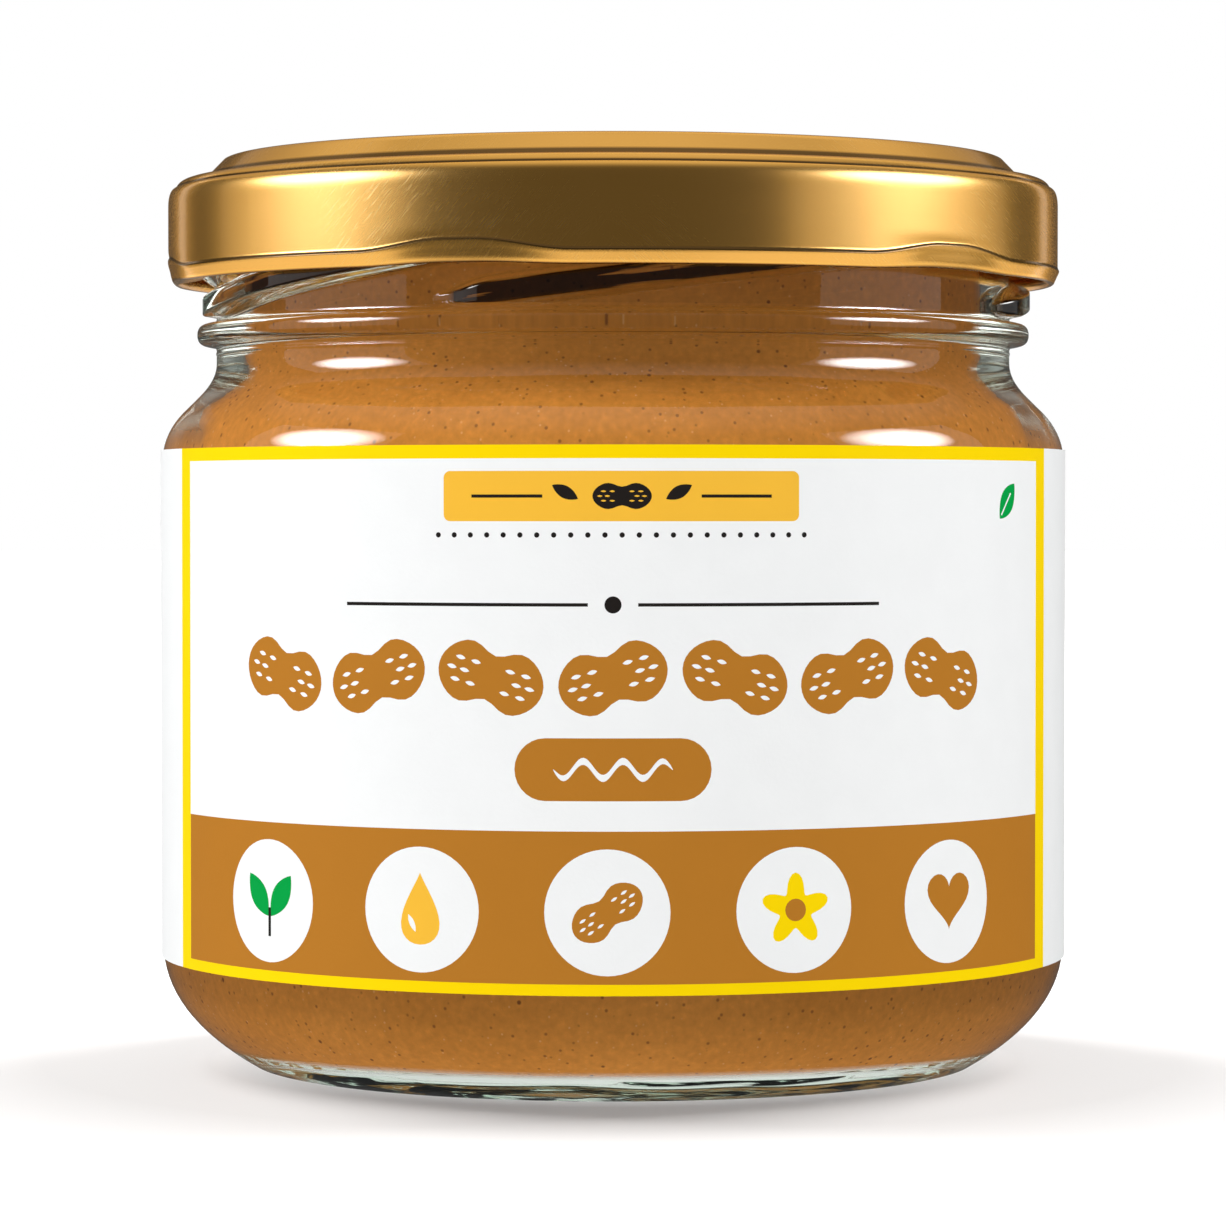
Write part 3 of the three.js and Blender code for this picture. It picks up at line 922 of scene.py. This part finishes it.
def glass_material():
    """Clear glass, slightly wavy. The threads carry painted shade, near black, with painted pale glints in
    streaks, and the painted shade clears towards their outlines.
    """
    made, tree, shader = material("clear_glass", transmission_weight=1.0, roughness=0.0, ior=GLASS_IOR)
    space = object_space(tree)
    waves = noise(tree, space, 90.0, 1.0)
    feed(tree, shader, normal=bump(tree, waves, 0.0004, 0.35))
    along = add(tree, "ShaderNodeSeparateXYZ", {0: space})
    # Painted shade: where the thread stands out of the neck, above the bead, and faces the ray
    core = on_ramp(tree, from_axis(tree, space), *THREAD_SHADE_RADII)
    core = times(tree, core, math_node(tree, "GREATER_THAN", along["Z"], THREAD_SHADE_FROM_Z * MM))
    facing = add(tree, "ShaderNodeLayerWeight", {"Blend": 0.5})["Facing"]
    core = times(tree, core, ramp(tree, facing, (0.5, 1.0), (0.75, 0.0)))
    # Painted highlight: pale glints in streaks that follow the thread's climb
    turn = math_node(tree, "ARCTAN2", along["X"], times(tree, along["Y"], -1.0))
    climb = times(tree, turn, THREAD_PITCH * MM / TURN)
    up_thread = math_node(tree, "SUBTRACT", along["Z"], climb)
    strip = add(tree, "ShaderNodeCombineXYZ", {0: up_thread, 1: times(tree, turn, 0.002)})[0]
    streak = noise(tree, strip, 1800.0, 2.0)
    thread = ramp(tree, streak, (0.58, THREAD_PAINTED_SHADE), (0.68, THREAD_PAINTED_GLINT))
    feed(tree, shader, base_color=mix_colours(tree, core, CLEAR_GLASS, thread))
    return made


def specks(tree, space, scale, core, edge, share):
    """Small round specks at the middles of some of the cells."""
    cells = add(tree, "ShaderNodeTexVoronoi", {"Vector": space, "Scale": scale, "Randomness": 1.0})
    near = ramp(tree, cells["Distance"], (core, 1.0), (edge, 0.0))
    draw = add(tree, "ShaderNodeSeparateColor", {0: cells["Color"]})[0]
    return times(tree, near, math_node(tree, "LESS_THAN", draw, share))


def butter_material():
    """Smooth ground nuts: a soft mottle, fine pale grain and sparse dark specks of skin.

    A film of air lies between the nuts and the glass at the neck and over the floor. At the neck it
    mirrors only at a slant.
    """
    made, tree, shader = material("ground_nuts", roughness=0.7, specular_ior_level=0.05)
    space = object_space(tree)
    mottle = ramp(tree, noise(tree, space, 90.0, 3.0), (0.3, BUTTER_DEEP), (0.7, BUTTER_LIGHT))
    grain = ramp(tree, noise(tree, space, 1500.0, 2.0), (0.25, 0.86), (0.6, 1.0), (0.8, 1.12))
    colour = mix_colours(tree, 1.0, mottle, grain, "MULTIPLY")
    fine = specks(tree, space, 1000.0, 0.08, 0.20, 0.8)
    pale = specks(tree, space, 1200.0, 0.06, 0.16, 0.6)
    coarse = specks(tree, space, 420.0, 0.05, 0.10, 0.7)
    for spots, weight, spot_colour in ((pale, 0.45, PALE_SPECK), (fine, 0.7, FINE_SPECK),
                                       (coarse, 0.8, COARSE_SPECK)):
        colour = mix_colours(tree, times(tree, spots, weight), colour, spot_colour)
    feed(tree, shader, base_color=colour)
    feed(tree, shader, normal=bump(tree, noise(tree, space, 500.0, 2.0), 0.0002, 0.3))
    slant = ramp(tree, add(tree, "ShaderNodeFresnel", {"IOR": 1 / GLASS_IOR})[0], (0.3, 0.0), (0.8, 1.0))
    height = add(tree, "ShaderNodeSeparateXYZ", {0: space})["Z"]
    on_neck = on_ramp(tree, height, *FILM_ON_NECK)
    low = math_node(tree, "LESS_THAN", height, FILM_FLOOR_TOP_Z * MM)
    on_floor = times(tree, on_ramp(tree, from_axis(tree, space), *FILM_ON_FLOOR), low)
    film = math_node(tree, "MAXIMUM", times(tree, slant, on_neck), on_floor)
    mirror = add(tree, "ShaderNodeBsdfGlossy", {"Color": FILM_MIRROR, "Roughness": 0.03})[0]
    both = add(tree, "ShaderNodeMixShader", {0: film, 1: shader.outputs[0], 2: mirror})[0]
    tree.links.new(both, tree.nodes["Material Output"].inputs["Surface"])
    return made


def streaks(tree, space, degrees, length, width, low, high):
    """Thin straight lines, of a length and width in metres, at an angle on the lid's front."""
    inputs = {"Vector": space, "Rotation": (0, math.radians(degrees), 0), "Scale": (length, length, width)}
    along = add(tree, "ShaderNodeMapping", inputs, vector_type="TEXTURE")["Vector"]
    return ramp(tree, noise(tree, along, 1.0, 1.0), (low, 0.0), (high, 1.0))


def gold_material(shade_lines):
    """Gold lacquer on tinplate, with a fine rolled grain, light scratches and thin lines of painted shade.

    Each painted shade line is its distance along the lid's profile and half its width, in metres.
    """
    made, tree, shader = material("gold_lacquer", metallic=1.0, coat_weight=0.25, coat_roughness=0.12,
                                  specular_tint=(0.6, 0.5, 0.4, 1))
    space = object_space(tree)
    tone = ramp(tree, noise(tree, space, 70.0, 3.0), (0.3, GOLD_DEEP), (0.7, GOLD_LIGHT))
    rising = streaks(tree, space, -50, *SCRATCH_SIZE, 0.62, 0.74)
    falling = streaks(tree, space, 42, *SCRATCH_SIZE, 0.62, 0.74)
    across = add(tree, "ShaderNodeSeparateXYZ", {0: space})["X"]
    patches = ramp(tree, noise(tree, space, 60.0, 1.0), (0.40, 0.0), (0.60, 1.0))
    lines = mix_colours(tree, math_node(tree, "GREATER_THAN", across, 0.0), rising, falling)
    scratch = times(tree, lines, patches)
    grain = streaks(tree, space, 0, *GRAIN_SIZE, 0.2, 0.8)
    tone = mix_colours(tree, times(tree, scratch, 0.25), tone, GOLD_SCRATCH)
    run = add(tree, "ShaderNodeSeparateXYZ", {0: add(tree, "ShaderNodeUVMap", uv_map="wrap")[0]})["Y"]
    # Painted shade: a dark line along the lid's profile at each of these places
    for place, half in shade_lines:
        away = math_node(tree, "ABSOLUTE", math_node(tree, "SUBTRACT", run, place))
        line = ramp(tree, math_node(tree, "DIVIDE", away, 2 * half), (0.25, 0.85), (0.5, 0.0))
        tone = mix_colours(tree, line, tone, GOLD_PAINTED_SHADE)
    feed(tree, shader, base_color=tone)
    rough = math_node(tree, "MULTIPLY_ADD", grain, 0.02, 0.25)
    feed(tree, shader, roughness=math_node(tree, "MULTIPLY_ADD", scratch, 0.06, rough))
    feed(tree, shader, normal=bump(tree, times(tree, scratch, -0.12), 0.00003, 0.4))
    return made


def print_material(name, colour, roughness):
    """Coated paper, or a coat of ink on it, with the paper's fine tooth."""
    made, tree, shader = material(name, roughness=roughness, specular_ior_level=0.06)
    space = object_space(tree)
    cloud = noise(tree, space, 260.0, 4.0)
    darker = tuple(0.985 * channel for channel in colour[:3]) + (1.0,)
    feed(tree, shader, base_color=ramp(tree, cloud, (0.35, darker), (0.65, colour)))
    feed(tree, shader, normal=bump(tree, noise(tree, space, 2600.0, 3.0), 0.00003, 0.4))
    return made


INKS = {
    "paper": srgb(241, 242, 242),
    "yellow": srgb(250, 214, 4),
    "brown": srgb(180, 118, 40),
    "amber": srgb(244, 187, 60),
    "dark": srgb(34, 30, 28),
    "green": srgb(3, 157, 67),
}


# Pieces

glass_profile = np.vstack([glass_outside(), glass_cavity()[::-1]])
glass_mesh = turned("jar_glass_clear", glass_profile, reshape_glass)
glass_mesh.shade_smooth()
glass = piece("jar_glass_clear", glass_mesh, [glass_material()], "jar_glass")
glass.visible_shadow = False
glass.visible_diffuse = False

butter_mesh = turned("peanut_butter_fill", butter_profile(), unchanged)
shade(butter_mesh, 60)
butter = piece("peanut_butter_fill", butter_mesh, [butter_material()], "peanut_butter")
butter.visible_diffuse = False

lid_rows = lid_profile()
lid_mesh = turned("lid_gold", lid_rows, reshape_lid)
shade(lid_mesh, 60)
# Places and half widths of the lid's painted shade lines
shade_line_places = (CREASE_SHADE_LINE, RING_SHADE_LINE, FOLD_SHADE_LINE, CURL_SHADE_LINE)
lid_shade_lines = [(run_at(lid_rows, r, z), half * MM) for r, z, half in shade_line_places]
lid = piece("lid_gold", lid_mesh, [gold_material(lid_shade_lines)], "lid")

ink_names = list(INKS)
wrap = label_mesh("label_printed", front_print() + back_print(), ink_names)
shade(wrap, 40)
papers = [print_material("print_" + ink, INKS[ink], 0.5) for ink in ink_names]
label = piece("label_printed", wrap, papers, "label")
label.visible_diffuse = False


# Camera

camera = bpy.data.cameras.new("camera")
camera.lens = CAMERA_LENS
camera.sensor_width = CAMERA_SENSOR
camera.clip_start = 0.01
camera.clip_end = 100
viewer = bpy.data.objects.new("camera", camera)
viewer.location = (0, -CAMERA_DISTANCE * MM, CAMERA_HEIGHT * MM)
viewer.rotation_euler = (math.pi / 2 - CAMERA_PITCH, 0, 0)
bpy.context.collection.objects.link(viewer)
bpy.context.scene.camera = viewer


# Stage and light

def feather(lamp, core):
    """Fades a lamp out from its even core to its rim, half a lamp from its middle."""
    lamp.use_nodes = True
    tree = lamp.node_tree
    spot = add(tree, "ShaderNodeNewGeometry")["Parametric"]
    away = add(tree, "ShaderNodeVectorMath", {0: spot, 1: (0.5, 0.5, 0)}, operation="DISTANCE")["Value"]
    tree.links.new(ramp(tree, away, (core, 1.0), (0.5, 0.0)), tree.nodes["Emission"].inputs["Strength"])


def soft_light(name, place, aim, size, radiance, pieces, in_gloss=True, core=None, colour=(1, 1, 1)):
    """A soft box, sized in metres, that lights some of the pieces. With a core it is round and fades."""
    feathered = core is not None
    lamp = bpy.data.lights.new(name, "AREA")
    lamp.shape = "ELLIPSE" if feathered else "RECTANGLE"
    lamp.size, lamp.size_y = size
    lamp.energy = radiance * math.pi * size[0] * size[1] * (math.pi / 4 if feathered else 1)
    lamp.color = colour
    if feathered:
        feather(lamp, core)
    box = bpy.data.objects.new(name, lamp)
    box.location = place
    box.rotation_euler = (Vector(aim) - Vector(place)).to_track_quat("-Z", "Y").to_euler()
    box.visible_camera = False
    box.visible_glossy = in_gloss
    lit = bpy.data.collections.new(name + "_lights")
    for one in pieces:
        lit.objects.link(one)
    box.light_linking.receiver_collection = lit
    bpy.context.collection.objects.link(box)


def side_light(name, side, azimuth, distance, height, aim_z, size, radiance, pieces, **settings):
    """One soft box of a pair, at an angle from the camera: side is -1 for the left and 1 for the right.

    The lamp aims at a height on the jar's axis. Lengths are metres.
    """
    turn = math.radians(azimuth * side)
    place = (distance * math.sin(turn), -distance * math.cos(turn), height)
    full_name = name + ("_left" if side < 0 else "_right")
    soft_light(full_name, place, (0, 0, aim_z), size, radiance, pieces, **settings)


def studio_world():
    """White to the camera, dim with light above to mirrors, and brighter straight behind through glass."""
    world = bpy.data.worlds.new("studio")
    world.use_nodes = True
    tree = world.node_tree
    tree.nodes.clear()
    way = add(tree, "ShaderNodeSeparateXYZ", {0: add(tree, "ShaderNodeTexCoord")["Generated"]})
    depth = math_node(tree, "MULTIPLY_ADD", way["Y"], 0.5, 0.5)
    around = ramp(tree, depth, (0.0, 0.10), (1.0, 0.08))
    above = ramp(tree, way["Z"], (0.5, 0.0), (1.0, 0.8))
    mirrored = math_node(tree, "MAXIMUM", around, above)
    through = ramp(tree, depth, (0.0, 0.10), (0.93, 0.10), (0.985, 0.50))
    ray = add(tree, "ShaderNodeLightPath")
    light = mix_colours(tree, ray["Is Transmission Ray"], mirrored, through)
    colour = mix_colours(tree, ray["Is Camera Ray"], light, (1, 1, 1, 1))
    background = add(tree, "ShaderNodeBackground", {"Color": colour, "Strength": 1.0})
    output = tree.nodes.new("ShaderNodeOutputWorld")
    tree.links.new(background[0], output.inputs["Surface"])
    bpy.context.scene.world = world


def floor_material():
    """White, with a shade close round the foot that fades to full white, by emission, and a glowing patch
    under the foot, seen through the glass base.
    """
    made, tree, shader = material("floor_white", roughness=0.6, specular_ior_level=0.2,
                                  emission_color=(1, 1, 1, 1))
    space = object_space(tree)
    tone = ramp(tree, noise(tree, space, 3.0, 2.0), (0.3, FLOOR_DEEP), (0.7, FLOOR_LIGHT))
    away = add(tree, "ShaderNodeVectorMath", {0: space}, operation="LENGTH")["Value"]
    glow = ramp(tree, away, *FLOOR_GLOW)
    feed(tree, shader, base_color=tone, emission_strength=glow)
    return made


floor_mesh = bpy.data.meshes.new("floor")
corners = [(x * FLOOR_HALF, y * FLOOR_HALF, 0) for x, y in ((-1, -1), (1, -1), (1, 1), (-1, 1))]
floor_mesh.from_pydata(corners, [], [(0, 1, 2, 3)])
floor_mesh.materials.append(floor_material())
floor = bpy.data.objects.new("floor", floor_mesh)
bpy.context.collection.objects.link(floor)
floor.visible_glossy = False
floor.visible_shadow = False
floor.visible_diffuse = False

studio_world()
for side in (-1, 1):
    side_light("glass_box", side, 82, 0.65, 0.22, 0.16, (0.56, 0.6), 0.6, [glass])
    wide = (0.88 + 0.06 * side, 0.5)
    side_light("lid_box_wide", side, 82 - 2 * side, 0.65, 0.18, 0.14, wide, 0.44, [lid])
    side_light("lid_box", side, 85, 0.64, 0.18, 0.14, (0.44, 0.5), 0.26, [lid])
    side_light("lid_edge", side, 144, 1.2, 0.10, 0.08, (0.14, 1.0), 1.6, [lid])
    side_light("glass_key", side, 79, 0.52, 0.28, 0.06, (0.36, 0.27), 36.0, [glass], core=0.1)
    side_light("lid_key", side, 78, 0.52, 0.245, 0.06, (0.50, 0.24), 7.2, [lid], core=0.28, colour=KEY_BLUE)
    side_light("side", side, 70, 0.6, 0.6, 0.05, (0.5, 0.5), 4.2 - 0.8 * side, [butter], in_gloss=False)
    side_light("label", side, 70, 0.8, 0.3, 0.05, (0.4, 0.4), 7.4 - 0.5 * side, [label], in_gloss=False)
    side_light("floor", side, 128, 1.0, 0.8, 0, (0.8, 0.8), 12.0, [floor], in_gloss=False)
soft_light("overhead", (0, 0.0, 1.1), (0, 0, 0.05), (1.2, 1.2), 1.9, [butter], in_gloss=False)
soft_light("label_above", (0, 0.0, 1.1), (0, 0, 0.05), (1.2, 1.2), 4.5, [label], in_gloss=False)
soft_light("fill_front", (0, -1.6, 0.14), (0, 0, 0.05), (2.0, 0.24), 4.4, [label], in_gloss=False)
soft_light("fill_back", (0, 1.6, 0.14), (0, 0, 0.05), (2.0, 0.24), 3.5, [label], in_gloss=False)
soft_light("floor_dome", (0, 0.2, 1.2), (0, 0, 0), (4.0, 4.0), 0.12, [floor], in_gloss=False)
soft_light("below", (-0.12, 0, -0.5), (0, 0, 0.05), (3.0, 3.0), 0.74, [butter, label], in_gloss=False)
soft_light("sheen_above", (0, 1.75, 1.3), (0, 1.75, 0), (4.0, 2.5), 0.5, [lid])
soft_light("sheen_below", (0, 1.25, -0.5), (0, 1.25, 0), (3.6, 3.9), 1.0, [lid])

light_paths = bpy.context.scene.cycles
light_paths.max_bounces = 20
light_paths.diffuse_bounces = 2
light_paths.glossy_bounces = 14
light_paths.transmission_bounces = 12

bpy.context.scene.view_settings.view_transform = "Standard"
